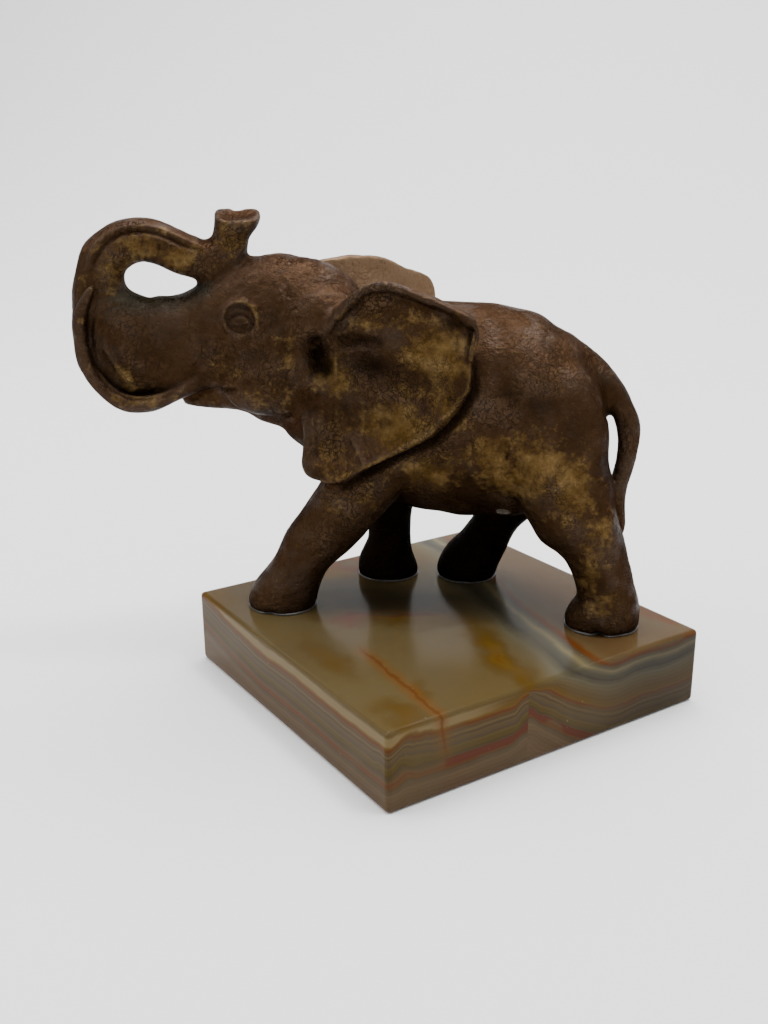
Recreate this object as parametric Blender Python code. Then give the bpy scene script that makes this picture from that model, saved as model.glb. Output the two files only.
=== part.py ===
"""A cast elephant with its trunk thrown back over its brow, on a square slab of onyx.

The elephant strides across the slab from corner to corner, facing -X, with +Z up.
The origin is the middle of the slab's underside.
"""

import math

import bmesh
import bpy
from mathutils import Matrix, Vector

# Driving dimensions, in metres.
PLINTH_EDGE = 0.100
PLINTH_THICKNESS = 0.021
PLINTH_EASE = 0.0012
FIGURE_HEIGHT = 0.108
FIGURE_SETBACK = 0.0135
SEAT_GAP = 0.0003

# The pose.
PLINTH_TURN = math.radians(45)
HEAD_TURN = math.radians(18)
HEAD_TILT = math.radians(4)

# The elephant is laid out in hundredths of its height, from the point on the
# ground midway between its four feet. Its stations are (x, y, z, half width
# across the body, half depth along it), and -Y is its left.
SHARE = FIGURE_HEIGHT / 100
NECK_X = -25.0
NECK_Z = 65.0

# The skin is a fine voxel skin over the forms, smoothed and then thinned.
SKIN_VOXEL = 0.85 * SHARE
SKIN_SMOOTHING = 5
SKIN_TRIANGLES = 9400
SKIN_SOFTNESS = 0.5

BARREL = (
    (39.8, 0, 50.0, 4.0, 8.0),
    (37.2, 0, 50.0, 10.0, 13.5),
    (32.0, 0, 49.8, 15.5, 20.0),
    (24.0, 0, 49.3, 18.5, 24.8),
    (12.0, 0, 49.9, 19.5, 27.0),
    (0.0, 0, 50.3, 19.5, 27.2),
    (-12.0, 0, 51.3, 17.0, 26.0),
    (-22.0, -1, 54.5, 14.0, 22.8),
    (-30.0, -2, 59.0, 12.5, 20.5),
    (-37.0, -4, 63.0, 10.5, 17.0),
    (-43.0, -6, 65.0, 7.0, 11.0),
)

LEFT_FORELEG = (
    (-12.0, -8.0, 47.0, 8.5, 12.5),
    (-20.5, -11.0, 32.5, 8.4, 9.6),
    (-27.7, -13.0, 22.5, 7.8, 8.2),
    (-33.0, -14.2, 16.0, 7.4, 7.6),
    (-36.2, -15.0, 10.0, 7.0, 7.0),
    (-38.9, -15.7, 5.0, 7.6, 7.9),
    (-40.7, -16.0, 1.0, 8.6, 9.1),
    (-40.7, -16.0, -3.0, 8.6, 9.1),
)
RIGHT_FORELEG = (
    (-15.0, 8.0, 46.0, 8.5, 11.0),
    (-17.5, 11.0, 30.0, 7.6, 8.2),
    (-17.5, 11.5, 18.0, 6.2, 6.1),
    (-17.8, 11.7, 10.0, 6.2, 6.0),
    (-18.4, 11.6, 4.5, 7.4, 7.6),
    (-18.2, 11.5, 0.5, 8.2, 8.6),
    (-18.2, 11.5, -3.0, 8.2, 8.6),
)
LEFT_HIND_LEG = (
    (28.5, -8.5, 50.0, 9.0, 12.4),
    (29.8, -11.0, 38.0, 9.2, 12.0),
    (33.0, -12.0, 29.0, 8.8, 11.2),
    (36.0, -12.6, 24.5, 8.2, 9.4),
    (38.8, -13.0, 19.8, 7.7, 7.9),
    (40.6, -13.4, 14.8, 7.2, 7.1),
    (42.0, -13.6, 9.5, 7.0, 7.2),
    (42.7, -13.8, 5.5, 7.8, 8.1),
    (41.7, -13.8, 0.8, 8.6, 9.3),
    (41.7, -13.8, -3.0, 8.6, 9.3),
)
RIGHT_HIND_LEG = (
    (22.0, 8.5, 46.0, 9.0, 12.5),
    (17.5, 11.5, 30.0, 8.8, 10.5),
    (12.5, 13.0, 18.0, 7.0, 6.6),
    (9.2, 13.8, 11.5, 6.6, 6.5),
    (6.8, 14.1, 7.5, 7.0, 7.0),
    (4.8, 14.3, 4.0, 7.8, 8.0),
    (3.6, 14.3, 0.5, 8.2, 8.2),
    (3.6, 14.3, -3.0, 8.2, 8.2),
)

TAIL = (
    (32.0, 0.0, 66.0, 3.6, 3.0),
    (37.4, 0.0, 61.6, 3.4, 2.9),
    (41.7, -0.3, 55.8, 3.2, 3.0),
    (44.8, -0.8, 50.0, 3.0, 3.1),
    (45.8, -1.5, 44.5, 2.9, 3.0),
    (45.2, -2.6, 39.0, 2.8, 2.6),
    (44.0, -4.0, 34.5, 2.7, 2.5),
    (43.4, -5.2, 30.0, 2.9, 2.5),
    (43.4, -5.8, 26.0, 3.2, 2.9),
    (43.9, -6.0, 23.3, 2.9, 2.5),
    (43.6, -6.0, 21.0, 1.3, 1.2),
)

# The head's stations are measured from the neck, ahead of it and to its right.
# HEAD_TURN then swings the whole head to the elephant's left, and HEAD_TILT
# leans its crown the same way.
SKULL = (
    (-14.0, 0, 57.5, 7.0, 11.0),
    (-6.0, 0, 59.4, 11.0, 16.0),
    (3.0, 0, 61.4, 12.2, 18.6),
    (12.0, 0, 65.4, 12.6, 22.0),
    (19.0, 0, 68.2, 12.4, 21.6),
    (26.0, 0, 69.4, 11.6, 19.0),
    (33.0, 0, 68.6, 10.4, 15.2),
    (41.0, 0, 67.4, 9.2, 12.8),
    (49.5, 0, 66.7, 8.2, 12.4),
    (56.0, 0, 69.3, 7.5, 13.6),
    (60.5, 0, 76.0, 6.6, 8.6),
)
TRUNK = (
    (56.5, 0, 69.5, 7.2, 10.5),
    (60.6, 0, 76.0, 6.5, 8.2),
    (61.8, 0, 83.2, 6.0, 6.1),
    (59.5, 0, 89.6, 5.6, 5.7),
    (52.0, 0, 93.3, 5.3, 5.3),
    (45.5, 0, 91.8, 5.1, 5.1),
    (39.5, 0, 89.2, 5.1, 4.9),
    (34.2, 0, 88.4, 5.1, 5.1),
    (30.6, 0, 90.8, 4.9, 4.9),
    (29.6, 0, 94.4, 4.6, 4.3),
    (28.6, 0, 97.2, 4.9, 4.8),
    (27.7, 0, 98.9, 5.3, 5.6),
    (27.5, 0, 99.8, 5.4, 5.9),
)
JAW = (
    (18.0, 0, 51.8, 7.5, 5.6),
    (28.0, 0, 53.6, 6.5, 4.0),
    (36.0, 0, 53.2, 4.6, 2.6),
    (41.0, 0, 52.6, 2.8, 1.6),
    (43.6, 0, 52.6, 1.8, 1.0),
)
LEFT_TUSK = (
    (36.0, 8.2, 59.5, 1.2, 1.2),
    (43.0, 8.0, 57.0, 1.8, 1.8),
    (50.0, 7.2, 53.9, 1.8, 1.8),
    (57.2, 6.9, 53.7, 1.8, 1.8),
    (62.9, 6.6, 58.2, 1.8, 1.8),
    (66.4, 6.1, 65.5, 1.8, 1.8),
    (67.2, 5.7, 73.5, 1.6, 1.6),
    (66.0, 5.4, 80.0, 0.8, 0.8),
)
RIGHT_TUSK = (
    (36.0, 8.2, 59.5, 1.2, 1.2),
    (43.0, 8.0, 57.0, 1.8, 1.8),
    (50.0, 7.2, 53.9, 1.8, 1.8),
    (57.2, 7.0, 53.7, 1.8, 1.8),
    (63.4, 7.0, 58.2, 1.8, 1.8),
    (67.4, 6.9, 65.5, 1.8, 1.8),
    (68.8, 6.8, 73.0, 1.8, 1.8),
    (67.8, 6.4, 78.0, 1.3, 1.3),
    (66.2, 6.0, 81.4, 0.7, 0.7),
)

# The eye's middle, the half length and half height of its lids, and their fullness.
EYE = (28.2, 10.6, 75.8)
EYELID_REACH = (4.0, 3.2)
EYELID_FULLNESS = 0.9

# Swellings of muscle and bone, (middle, radii). Those of the head come in pairs
# and are given for its right side, apart from the lip.
UPPER_LIP = ((55.0, 0, 61.5), (9.5, 7.0, 8.5))
EYE_SWELLING = ((28.2, 9.1, 75.8), (3.2, 2.6, 2.6))
EAR_ROOT_SWELLING = ((8.0, 8.3, 73.0), (11.0, 5.6, 9.6))
CHEEK = ((22.0, 9.0, 60.0), (12.0, 4.5, 9.5))
LEFT_SHOULDER = ((-14.0, -9.5, 52.0), (12.0, 7.5, 18.0))
RIGHT_SHOULDER = ((-14.0, 9.5, 52.0), (12.0, 7.5, 18.0))
LEFT_HAUNCH = ((29.0, -9.0, 50.0), (11.0, 9.0, 16.0))
RIGHT_HAUNCH = ((25.0, 9.0, 50.0), (11.0, 9.0, 16.0))

# The edge of each ear, from its root above the cheek round by the top, (ahead, up).
LEFT_EAR_EDGE = (
    (10.0, 70.5),
    (4.6, 78.5),
    (0.6, 82.7),
    (-4.0, 85.4),
    (-10.0, 85.4),
    (-22.0, 81.5),
    (-26.8, 78.2),
    (-25.6, 70.0),
    (-25.4, 62.0),
    (-16.5, 49.8),
    (-4.0, 42.0),
    (5.7, 36.2),
    (13.5, 37.4),
    (14.0, 45.0),
    (12.6, 57.5),
)
RIGHT_EAR_EDGE = (
    (11.5, 70.5),
    (13.2, 77.5),
    (12.6, 83.0),
    (9.0, 85.3),
    (2.3, 86.0),
    (-4.1, 85.6),
    (-9.7, 84.7),
    (-16.4, 81.6),
    (-23.7, 78.2),
    (-26.0, 73.3),
    (-25.4, 62.0),
    (-16.5, 49.8),
    (-4.0, 42.0),
    (5.7, 36.2),
    (13.5, 37.4),
    (14.0, 45.0),
    (12.6, 57.5),
)
EAR_ROLLED = 7
EAR_MIDDLE = (-2.0, 60.0)
EAR_ROOT_REACH = 12.3
EAR_FLARE = 0.53
EAR_DROP_FLARE = 0.42
EAR_CUP = 2.4
EAR_THICKNESS = 2.2
EAR_SPAN = 25.0
EAR_ROLL = 1.4
EAR_RINGS = 8


def material(name, colour, roughness, metallic):
    """A finish by its plain values."""
    finish = bpy.data.materials.new(name)
    finish.use_nodes = True
    shader = finish.node_tree.nodes["Principled BSDF"]
    shader.inputs["Base Color"].default_value = (*colour, 1)
    shader.inputs["Roughness"].default_value = roughness
    shader.inputs["Metallic"].default_value = metallic
    return finish


def through(stations, steps):
    """Points on a smooth curve through the stations, with the same fields."""
    points = []
    last = len(stations) - 1
    for span in range(last):
        a, b, c, d = (
            stations[max(0, min(last, span + offset))] for offset in (-1, 0, 1, 2)
        )
        for step in range(steps):
            t = step / steps
            points.append(
                tuple(
                    0.5
                    * (
                        2 * q
                        + (r - p) * t
                        + (2 * p - 5 * q + 4 * r - s) * t**2
                        + (3 * q - p - 3 * r + s) * t**3
                    )
                    for p, q, r, s in zip(a, b, c, d)
                )
            )
    points.append(tuple(float(value) for value in stations[-1]))
    return points


def skin_rings(shape, rings):
    """Closes a run of equal rings into one surface with a cap at each end."""
    made = [[shape.verts.new(point) for point in ring] for ring in rings]
    count = len(made[0])
    for near, far in zip(made, made[1:]):
        for i in range(count):
            j = (i + 1) % count
            shape.faces.new((near[i], near[j], far[j], far[i]))
    shape.faces.new(reversed(made[0]))
    shape.faces.new(made[-1])


def limb(shape, stations, sides=20, steps=5, fullness=2.2):
    """A form lofted along stations, oval or a little squarer as fullness rises."""
    points = through(stations, steps)
    centres = [Vector(point[:3]) for point in points]
    rings = []
    for i, point in enumerate(points):
        ahead = centres[min(i + 1, len(points) - 1)] - centres[max(i - 1, 0)]
        ahead.normalize()
        across = Vector((0, 1, 0))
        across = (across - across.dot(ahead) * ahead).normalized()
        along = ahead.cross(across)
        ring = []
        for k in range(sides):
            turn = 2 * math.pi * k / sides
            c, s = math.cos(turn), math.sin(turn)
            wide = math.copysign(abs(c) ** (2 / fullness), c) * point[3]
            deep = math.copysign(abs(s) ** (2 / fullness), s) * point[4]
            ring.append(centres[i] + across * wide + along * deep)
        rings.append(ring)
    skin_rings(shape, rings)


def mass(shape, swelling, side=1):
    """A muscle or bone that swells under the skin, on its own side or mirrored."""
    (ahead, across, up), radii = swelling
    place = Matrix.Translation((ahead, side * across, up)) @ Matrix.Diagonal((*radii, 1))
    bmesh.ops.create_uvsphere(
        shape, u_segments=20, v_segments=12, radius=1, matrix=place
    )


def eyelids(shape, side):
    """A raised oval ring of lid and wrinkle round the eye."""
    ring = []
    for step in range(13):
        turn = 2 * math.pi * step / 12
        ahead = EYE[0] + EYELID_REACH[0] * math.cos(turn)
        up = EYE[2] + EYELID_REACH[1] * math.sin(turn)
        ring.append((ahead, side * EYE[1], up, EYELID_FULLNESS, EYELID_FULLNESS))
    limb(shape, ring, sides=8, steps=2)


def ear_reach(ahead, up, depth):
    """How far the ear stands out from the middle of the head at a place on it."""
    flare = EAR_FLARE * (10 - ahead) + EAR_DROP_FLARE * max(0.0, 56 - up)
    cup = EAR_CUP * math.sin(math.pi * min(1.0, depth)) ** 2
    return EAR_ROOT_REACH + flare - cup


def ear(shape, corners, side):
    """One ear: a cupped sheet with its front and top edge rolled forward."""
    edge = through((*corners, corners[0]), 3)[:-1]
    outer, inner = [], []
    for ring in range(1, EAR_RINGS + 1):
        depth = ring / EAR_RINGS
        for surface, lift in ((outer, 0.0), (inner, EAR_THICKNESS)):
            row = []
            for ahead, up in edge:
                x = EAR_MIDDLE[0] + (ahead - EAR_MIDDLE[0]) * depth
                z = EAR_MIDDLE[1] + (up - EAR_MIDDLE[1]) * depth
                row.append(Vector((x, side * (ear_reach(x, z, depth) - lift), z)))
            surface.append(row)
    sheet = outer + inner[::-1]
    skin_rings(shape, sheet)
    inside = 1 - EAR_ROLL / EAR_SPAN
    roll = []
    for ahead, up in corners[:EAR_ROLLED]:
        x = EAR_MIDDLE[0] + (ahead - EAR_MIDDLE[0]) * inside
        z = EAR_MIDDLE[1] + (up - EAR_MIDDLE[1]) * inside
        roll.append((x, side * ear_reach(x, z, 1.0), z, EAR_ROLL, EAR_ROLL))
    limb(shape, roll, sides=10, steps=4)


def head_forms(shape):
    """The skull, trunk, jaw, tusks, ears and brows, facing straight ahead."""
    limb(shape, SKULL, sides=28, fullness=2.3)
    limb(shape, TRUNK, sides=24, fullness=2.7)
    limb(shape, JAW, sides=16)
    mass(shape, UPPER_LIP)
    for side, tusk, corners in (
        (-1, LEFT_TUSK, LEFT_EAR_EDGE),
        (1, RIGHT_TUSK, RIGHT_EAR_EDGE),
    ):
        limb(shape, [(h, side * l, z, w, d) for h, l, z, w, d in tusk], sides=12)
        mass(shape, EYE_SWELLING, side)
        mass(shape, EAR_ROOT_SWELLING, side)
        mass(shape, CHEEK, side)
        eyelids(shape, side)
        ear(shape, corners, side)


def body_forms(shape):
    """The barrel, legs, tail and the masses of shoulder and haunch."""
    limb(shape, BARREL, sides=32, fullness=2.15)
    for leg in (LEFT_FORELEG, RIGHT_FORELEG, LEFT_HIND_LEG, RIGHT_HIND_LEG):
        limb(shape, leg, sides=24)
    limb(shape, TAIL, sides=12)
    for swelling in (LEFT_SHOULDER, RIGHT_SHOULDER, LEFT_HAUNCH, RIGHT_HAUNCH):
        mass(shape, swelling)


def skinned(name, shape, finish):
    """One closed skin over overlapping forms, smoothed and thinned."""
    mesh = bpy.data.meshes.new(name)
    bmesh.ops.recalc_face_normals(shape, faces=shape.faces)
    shape.to_mesh(mesh)
    shape.free()
    form = bpy.data.objects.new(name, mesh)
    bpy.context.scene.collection.objects.link(form)
    remesh = form.modifiers.new("Skin", "REMESH")
    remesh.mode = "VOXEL"
    remesh.voxel_size = SKIN_VOXEL
    smooth = form.modifiers.new("Soften", "SMOOTH")
    smooth.factor = SKIN_SOFTNESS
    smooth.iterations = SKIN_SMOOTHING
    form.modifiers.new("Triangles", "TRIANGULATE")
    graph = bpy.context.evaluated_depsgraph_get()
    dense = len(form.evaluated_get(graph).data.polygons)
    thin = form.modifiers.new("Thin", "DECIMATE")
    thin.ratio = min(1.0, SKIN_TRIANGLES / dense)
    graph.update()
    skin = bpy.data.meshes.new_from_object(form.evaluated_get(graph))
    form.modifiers.clear()
    form.data = skin
    bpy.data.meshes.remove(mesh)
    skin.materials.append(finish)
    return form


def cut_soles(form, level):
    """Cuts the feet off flat where they stand."""
    shape = bmesh.new()
    shape.from_mesh(form.data)
    whole = shape.verts[:] + shape.edges[:] + shape.faces[:]
    cut = bmesh.ops.bisect_plane(
        shape,
        geom=whole,
        plane_co=(0, 0, level),
        plane_no=(0, 0, -1),
        clear_outer=True,
    )
    rims = [part for part in cut["geom_cut"] if isinstance(part, bmesh.types.BMEdge)]
    bmesh.ops.holes_fill(shape, edges=rims)
    bmesh.ops.triangulate(shape, faces=shape.faces)
    shape.to_mesh(form.data)
    shape.free()


def make_elephant():
    """The cast elephant, standing on the slab behind its diagonal."""
    head = bmesh.new()
    head_forms(head)
    swing = (
        Matrix.Translation((NECK_X, 0, NECK_Z))
        @ Matrix.Rotation(HEAD_TURN, 4, "Z")
        @ Matrix.Rotation(HEAD_TILT, 4, "X")
        @ Matrix.Translation((0, 0, -NECK_Z))
        @ Matrix.Diagonal((-1, 1, 1, 1))
    )
    head.transform(swing)
    carried = bpy.data.meshes.new("Head forms")
    head.to_mesh(carried)
    head.free()
    shape = bmesh.new()
    shape.from_mesh(carried)
    bpy.data.meshes.remove(carried)
    body_forms(shape)
    sole = PLINTH_THICKNESS + SEAT_GAP
    shape.transform(
        Matrix.Translation((0, FIGURE_SETBACK, sole)) @ Matrix.Scale(SHARE, 4)
    )
    bronze = material("Bronze", (0.16, 0.09, 0.045), 0.42, 0.85)
    elephant = skinned("elephant", shape, bronze)
    cut_soles(elephant, sole)
    elephant.data.shade_smooth()
    return elephant


def make_plinth():
    """The square onyx slab, its edges eased by polishing."""
    shape = bmesh.new()
    bmesh.ops.create_cube(shape, size=1)
    shape.transform(
        Matrix.Diagonal((PLINTH_EDGE, PLINTH_EDGE, PLINTH_THICKNESS, 1))
    )
    bmesh.ops.bevel(
        shape,
        geom=shape.edges[:],
        offset=PLINTH_EASE,
        segments=3,
        profile=0.5,
        affect="EDGES",
    )
    mesh = bpy.data.meshes.new("plinth")
    shape.to_mesh(mesh)
    shape.free()
    plinth = bpy.data.objects.new("plinth", mesh)
    bpy.context.scene.collection.objects.link(plinth)
    plinth.location = (0, 0, PLINTH_THICKNESS / 2)
    plinth.rotation_euler = (0, 0, PLINTH_TURN)
    mesh.materials.append(material("Onyx", (0.34, 0.30, 0.20), 0.08, 0.0))
    mesh.shade_smooth()
    mesh.set_sharp_from_angle(angle=math.radians(35))
    return plinth


def main():
    for thing in list(bpy.data.objects):
        bpy.data.objects.remove(thing)
    make_plinth()
    make_elephant()


main()
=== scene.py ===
"""A bronze elephant on an onyx slab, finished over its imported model."""

import math

import bpy
import numpy as np
from mathutils import Matrix, Vector


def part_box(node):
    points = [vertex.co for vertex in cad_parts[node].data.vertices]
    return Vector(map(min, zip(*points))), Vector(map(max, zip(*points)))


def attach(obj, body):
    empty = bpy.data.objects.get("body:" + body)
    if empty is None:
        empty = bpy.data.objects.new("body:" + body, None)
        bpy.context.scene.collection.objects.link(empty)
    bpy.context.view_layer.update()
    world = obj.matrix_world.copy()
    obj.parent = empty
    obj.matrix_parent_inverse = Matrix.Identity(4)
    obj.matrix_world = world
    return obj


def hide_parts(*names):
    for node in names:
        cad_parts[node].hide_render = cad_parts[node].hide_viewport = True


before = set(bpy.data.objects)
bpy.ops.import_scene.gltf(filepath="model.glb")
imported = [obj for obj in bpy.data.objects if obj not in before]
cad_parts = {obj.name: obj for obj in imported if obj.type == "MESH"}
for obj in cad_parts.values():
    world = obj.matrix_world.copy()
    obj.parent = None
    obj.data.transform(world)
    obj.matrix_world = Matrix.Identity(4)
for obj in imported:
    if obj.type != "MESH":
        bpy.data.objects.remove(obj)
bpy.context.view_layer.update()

# The casting is hollow bronze-coloured metal, poured in one piece with its trunk,
# tusks, ears and tail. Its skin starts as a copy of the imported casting, softened
# and made finer, and is then worked over fold by fold as its wax was.
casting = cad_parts["elephant"].copy()
casting.data = casting.data.copy()
casting.name = "elephant_cast"
casting.data.name = "elephant_cast"
bpy.context.scene.collection.objects.link(casting)

cast_low, cast_high = (Vector(corner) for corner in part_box("elephant"))
share = (cast_high.z - cast_low.z) / 100.83
ground = Vector((0, 12.5 * share, cast_low.z))
neck = Vector((-25, 0, 65))
head_axes = Matrix.Rotation(math.radians(18), 3, "Z") @ Matrix.Rotation(math.radians(4), 3, "X")
head_ahead = head_axes @ Vector((-1, 0, 0))
head_right = head_axes @ Vector((0, 1, 0))
head_up = head_axes @ Vector((0, 0, 1))


def from_head(ahead, right, up):
    """A place on the head, in metres, from hundredths of the elephant's height."""
    place = neck + ahead * head_ahead + right * head_right + (up - neck.z) * head_up
    return ground + share * place


def pick_only(piece):
    """Leaves one piece selected and active."""
    bpy.ops.object.select_all(action="DESELECT")
    piece.select_set(True)
    bpy.context.view_layer.objects.active = piece


def finish_with(piece, kind, **settings):
    """Adds one modifier and applies it."""
    pick_only(piece)
    modifier = piece.modifiers.new(kind.title(), kind)
    for name, value in settings.items():
        setattr(modifier, name, value)
    bpy.ops.object.modifier_apply(modifier=modifier.name)


pick_only(casting)
bpy.ops.object.mode_set(mode="EDIT")
bpy.ops.mesh.select_all(action="SELECT")
bpy.ops.mesh.remove_doubles(threshold=1e-6)
bpy.ops.object.mode_set(mode="OBJECT")
finish_with(casting, "SUBSURF", levels=2, render_levels=2)

# The tusks and the rolled rims of the ears were pressed on to the wax, so each is
# a tapered roll laid over the skin. The far ear's rim is hidden, and lies lower.
rolls = []


def roll(name, places, radius):
    """A tapered roll through places that carry their own thickness."""
    curve = bpy.data.curves.new(name, "CURVE")
    curve.dimensions = "3D"
    curve.bevel_depth = radius * share
    curve.bevel_resolution = 4
    curve.use_fill_caps = True
    curve.resolution_u = 6
    spline = curve.splines.new("NURBS")
    spline.points.add(len(places) - 1)
    spline.order_u = 4
    spline.use_endpoint_u = True
    for point, (place, thickness) in zip(spline.points, places):
        point.co = (*place, 1)
        point.radius = thickness
    piece = bpy.data.objects.new(name, curve)
    bpy.context.scene.collection.objects.link(piece)
    pick_only(piece)
    bpy.ops.object.convert(target="MESH")
    rolls.append(bpy.context.view_layer.objects.active)


left_tusk = (
    (38.0, 8.6, 60.8, 0.5),
    (43.0, 8.6, 57.0, 1.0),
    (50.0, 7.8, 54.0, 1.05),
    (57.2, 7.3, 54.0, 1.05),
    (62.7, 7.0, 58.4, 1.0),
    (66.0, 6.7, 65.5, 1.0),
    (66.7, 6.8, 73.5, 0.95),
    (65.4, 7.1, 78.6, 0.8),
    (63.7, 7.3, 81.4, 0.66),
    (62.4, 7.2, 83.2, 0.4),
)
right_tusk = (
    (38.0, 8.2, 60.8, 0.5),
    (43.0, 8.2, 57.0, 1.0),
    (50.0, 7.4, 54.0, 1.05),
    (57.2, 7.1, 53.9, 1.05),
    (63.3, 7.0, 58.3, 1.0),
    (67.3, 6.9, 65.5, 1.0),
    (68.7, 6.8, 73.0, 1.0),
    (67.8, 6.4, 78.0, 0.7),
    (66.2, 6.0, 81.4, 0.35),
)
left_rim = (
    (8.7, 70.8),
    (6.3, 74.2),
    (4.0, 77.3),
    (1.6, 80.8),
    (-0.4, 83.2),
    (-2.8, 84.6),
    (-5.4, 85.2),
    (-7.8, 85.0),
    (-11.7, 83.9),
    (-16.0, 82.5),
    (-19.3, 81.1),
    (-21.6, 80.3),
    (-24.3, 79.2),
    (-26.0, 77.2),
    (-26.3, 74.6),
    (-25.4, 71.8),
    (-25.0, 69.0),
)
right_rim = (
    (9.6, 74.2),
    (10.9, 78.0),
    (10.6, 81.6),
    (8.0, 83.4),
    (2.0, 84.3),
    (-4.1, 84.0),
    (-9.7, 83.1),
    (-15.8, 80.2),
    (-22.4, 77.0),
    (-24.6, 73.0),
    (-24.4, 68.5),
)


def ear_stand(ahead, up):
    """How far the ear stands out from the middle of the head."""
    return 12.3 + 0.53 * (10 - ahead) + 0.42 * np.maximum(0, 56 - up)


for side, hand, tusk, rim in (
    (-1, "left", left_tusk, left_rim),
    (1, "right", right_tusk, right_rim),
):
    roll(hand + "_tusk", [(from_head(h, side * l, u), thick) for h, l, u, thick in tusk], 1.9)
    last = len(rim) - 1
    places = []
    for place, (h, u) in enumerate(rim):
        thick = min(1.0, 0.45 + 0.2 * place, 0.55 + 0.2 * (last - place))
        stand = side * float(ear_stand(h, u) + 0.5)
        places.append((from_head(h, stand, u), thick))
    roll(hand + "_ear_rim", places, 0.85)

pick_only(casting)
for piece in rolls:
    piece.select_set(True)
bpy.ops.object.join()
finish_with(casting, "REMESH", mode="VOXEL", voxel_size=0.33 * share)
finish_with(casting, "SMOOTH", factor=0.5, iterations=10)

# The joined skin is then worked as the wax was, with a small round tool: strokes
# raise or cut it, scratches are scattered over it, and places are rubbed down.


def read_skin(piece):
    """The skin's points and normals, in metres."""
    count = len(piece.data.vertices)
    points = np.empty(count * 3)
    normals = np.empty(count * 3)
    piece.data.vertices.foreach_get("co", points)
    piece.data.vertex_normals.foreach_get("vector", normals)
    return points.reshape(-1, 3), normals.reshape(-1, 3)


def ease(low, high, value):
    """A smooth step from 0 at low to 1 at high."""
    t = np.clip((value - low) / (high - low), 0, 1)
    return t * t * (3 - 2 * t)


def softened(piece, rounds):
    """The skin's points after so many rounds of smoothing."""
    copy = piece.copy()
    copy.data = piece.data.copy()
    bpy.context.scene.collection.objects.link(copy)
    finish_with(copy, "SMOOTH", factor=0.5, iterations=rounds)
    points, _ = read_skin(copy)
    mesh = copy.data
    bpy.data.objects.remove(copy)
    bpy.data.meshes.remove(mesh)
    return points


class Skin:
    """The skin laid out in hundredths of the elephant's height, ready for the tool."""

    def __init__(self, piece):
        self.piece = piece
        self.read()

    def read(self):
        """Takes the skin as it is now, with each point's place on the body and head.

        x, y and z run back, right and up on the body, and h, l and u run ahead,
        right and up on the head. The others say where the ears, sides and face are.
        """
        self.points, self.normals = read_skin(self.piece)
        figure = (self.points - np.array(ground)) / share
        self.x, self.y, self.z = figure.T
        head = figure - np.array(neck)
        self.h = head @ np.array(head_ahead)
        self.l = head @ np.array(head_right)
        self.u = head @ np.array(head_up) + neck.z
        self.out = self.normals @ np.array(head_right) * np.sign(self.l)
        self.rise = self.normals @ np.array(head_up)
        within = ease(16, 12, self.h) * ease(33, 35, self.u) * ease(88, 86, self.u)
        self.ear = ease(-5.5, -3.2, np.abs(self.l) - ear_stand(self.h, self.u)) * within
        self.ear *= ease(-0.05, 0.3, self.out)
        self.side = ease(0.05, 0.4, self.out) * (1 - self.ear)
        self.face = self.side * ease(10, 15, self.h)

    def stroke(self, plane, line, width, height, where, taper=True):
        """Raises or cuts the skin along a line, strongest in its middle."""
        line = np.array(line, float)
        across, along = (self.h, self.u) if plane == "head" else (self.x, self.z)
        reach = 3 * width
        near = (across > line[:, 0].min() - reach) & (across < line[:, 0].max() + reach)
        near &= (along > line[:, 1].min() - reach) & (along < line[:, 1].max() + reach)
        near &= where > 0
        a, b = across[near], along[near]
        close = np.full(len(a), 1e9)
        part = np.zeros(len(a))
        lengths = np.linalg.norm(np.diff(line, axis=0), axis=1)
        start = 0.0
        for (ax, ay), (bx, by), length in zip(line, line[1:], lengths):
            t = np.clip(((a - ax) * (bx - ax) + (b - ay) * (by - ay)) / length**2, 0, 1)
            d = np.hypot(a - ax - t * (bx - ax), b - ay - t * (by - ay))
            better = d < close
            close = np.where(better, d, close)
            part = np.where(better, (start + t * length) / lengths.sum(), part)
            start += length
        depth = height * np.exp(-((close / width) ** 2))
        if taper:
            depth *= ease(0, 0.2, part) * ease(1, 0.8, part)
        move = np.zeros(len(self.points))
        move[near] = depth * where[near]
        return move

    def wrinkles(self, plane, count, low, high, way, length, width, depth, where):
        """Scatters short bent scratches over a field, all much the same way."""
        move = np.zeros(len(self.points))
        for _ in range(count):
            a, b = rng.uniform(low, high)
            turn = math.radians(way + rng.normal() * 22)
            reach = length * rng.uniform(0.5, 1.3)
            bend = rng.normal() * 0.22 * reach
            da, db = math.cos(turn), math.sin(turn)
            line = (
                (a - da * reach / 2, b - db * reach / 2),
                (a - db * bend, b + da * bend),
                (a + da * reach / 2, b + db * reach / 2),
            )
            move += self.stroke(plane, line, width * rng.uniform(0.7, 1.3),
                                depth * rng.uniform(0.3, 1.2), where)
        return move

    def press(self, move):
        """Moves the skin out along its normals."""
        self.points = self.points + self.normals * (move * share)[:, None]
        self.put()

    def put(self):
        """Sets the skin to the points as they are now held."""
        self.piece.data.vertices.foreach_set("co", self.points.ravel())
        self.piece.data.update()
        self.read()


rng = np.random.default_rng(7)
skin = Skin(casting)

# The jaw and cheek were left round by the joining, so they are rubbed down first.
jaw = ease(11, 15, skin.h) * ease(40, 34, skin.h) * ease(44, 47, skin.u) * ease(66, 61, skin.u)
cheek = ease(30, 34, skin.h) * ease(46, 40, skin.h) * ease(56, 58, skin.u) * ease(72, 66, skin.u)
rubbed_down = softened(casting, 120)
skin.points = skin.points + (rubbed_down - skin.points) * (0.8 * np.maximum(jaw, cheek))[:, None]
skin.put()

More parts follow.
